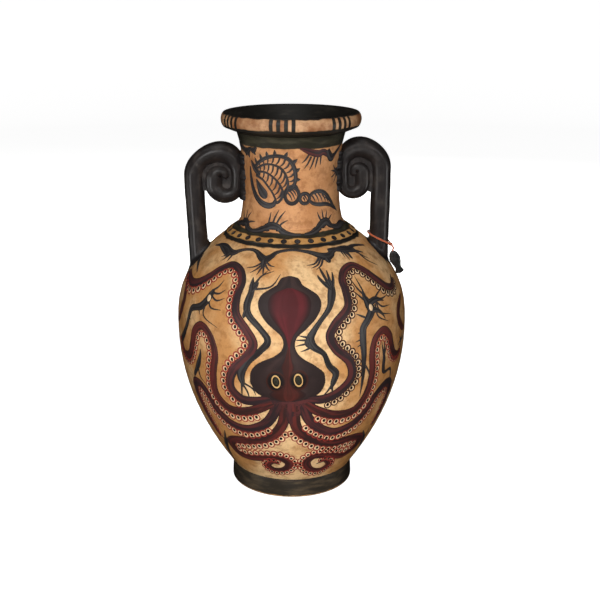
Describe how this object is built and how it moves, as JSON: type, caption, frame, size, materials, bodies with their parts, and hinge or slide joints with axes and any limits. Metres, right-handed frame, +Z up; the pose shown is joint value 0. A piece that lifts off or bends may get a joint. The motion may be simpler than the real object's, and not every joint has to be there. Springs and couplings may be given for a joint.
{
  "type": "two-handled painted jar",
  "caption": "Tall earthenware storage jar with a turned foot, full body, waisted neck, rolled lip and reeded volute handles, with sea-creature slip painting and a cord-tied tag.",
  "frame": {"origin": "on the jar's axis at the level of the foot's underside", "axes": "+Z up along the jar's axis, handles along X, painted front towards -Y"},
  "size_m": [0.194, 0.194, 0.32],
  "materials": {
    "clay": "satin buff clay, painted with dark slip",
    "black_slip": "satin black slip",
    "cord": "twisted waxed thread",
    "seal": "dark glossy sealing wax"
  },
  "bodies": {
    "jar": {"foot_ring": "black_slip", "belly": "clay", "shoulder": "clay", "collar_ring": "clay", "neck": "clay", "lip": "clay", "left_handle": "black_slip", "right_handle": "black_slip", "left_neck_lute": "black_slip", "right_neck_lute": "black_slip", "left_root_lute": "black_slip", "right_root_lute": "black_slip", "tie_cord": "cord", "cord_knot": "cord"},
    "tag": {"tag_link": "cord", "seal_tag": "seal"}
  },
  "joints": [
    {"name": "tag_swing", "type": "hinge", "parent": "jar", "child": "tag", "pos_m": [0.08253, -0.01065, 0.21152], "axis": [0, -1, 0], "range_deg": [0, 70]}
  ]
}
